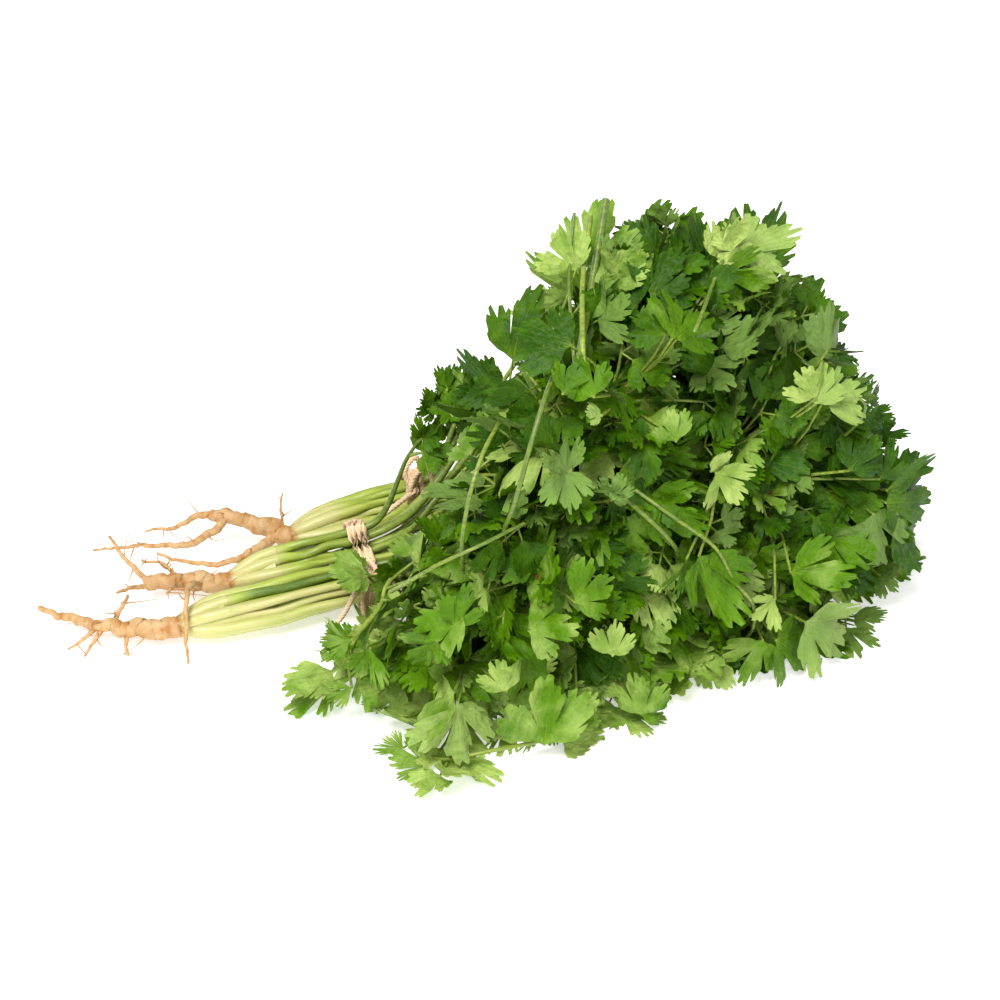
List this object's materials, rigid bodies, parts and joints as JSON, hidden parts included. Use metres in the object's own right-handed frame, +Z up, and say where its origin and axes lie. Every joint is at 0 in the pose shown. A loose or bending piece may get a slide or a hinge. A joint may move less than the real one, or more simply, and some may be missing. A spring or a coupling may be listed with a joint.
{
  "type": "coriander bunch",
  "caption": "Fresh coriander plants with taproots and pale crowns, tied with raffia into one loose bunch that lies on its side, leafy stems fanned out.",
  "frame": {"origin": "under the middle of the bunch's bounding box, on the surface that it rests on", "axes": "+X along the bunch from the roots to the leaf tips, +Y to its back, +Z up"},
  "size_m": [0.3779, 0.2444, 0.1706],
  "materials": {
    "root": "matte, peach-tan skin with darker rings",
    "crown": "satin, creamy white to pale green",
    "leaf": "satin leaf with a paler, duller underside; stalks pale at the crown and green above",
    "tie": "dry twisted raffia"
  },
  "bodies": {
    "root": {"root_front": "root", "crown_front": "crown", "root_middle": "root", "crown_middle": "crown", "root_back": "root", "crown_back": "crown", "tie_front": "tie", "tie_back": "tie", "leafy_stem_front_01": "leaf", "leafy_stem_front_02": "leaf", "leafy_stem_front_03": "leaf", "leafy_stem_front_04": "leaf", "leafy_stem_front_05": "leaf", "leafy_stem_front_06": "leaf", "leafy_stem_front_07": "leaf", "leafy_stem_front_08": "leaf", "leafy_stem_front_09": "leaf", "leafy_stem_front_10": "leaf", "leafy_stem_front_11": "leaf", "leafy_stem_front_12": "leaf", "leafy_stem_front_13": "leaf", "leafy_stem_front_14": "leaf", "leafy_stem_middle_01": "leaf", "leafy_stem_middle_02": "leaf", "leafy_stem_middle_03": "leaf", "leafy_stem_middle_04": "leaf", "leafy_stem_middle_05": "leaf", "leafy_stem_middle_06": "leaf", "leafy_stem_middle_07": "leaf", "leafy_stem_middle_08": "leaf", "leafy_stem_middle_09": "leaf", "leafy_stem_middle_10": "leaf", "leafy_stem_middle_11": "leaf", "leafy_stem_middle_12": "leaf", "leafy_stem_back_01": "leaf", "leafy_stem_back_02": "leaf", "leafy_stem_back_03": "leaf", "leafy_stem_back_04": "leaf", "leafy_stem_back_05": "leaf", "leafy_stem_back_06": "leaf", "leafy_stem_back_07": "leaf", "leafy_stem_back_08": "leaf", "leafy_stem_back_09": "leaf", "leafy_stem_back_10": "leaf", "leafy_stem_back_11": "leaf", "leafy_stem_back_12": "leaf", "leafy_stem_back_13": "leaf", "leafy_stem_back_14": "leaf"}
  },
  "joints": []
}
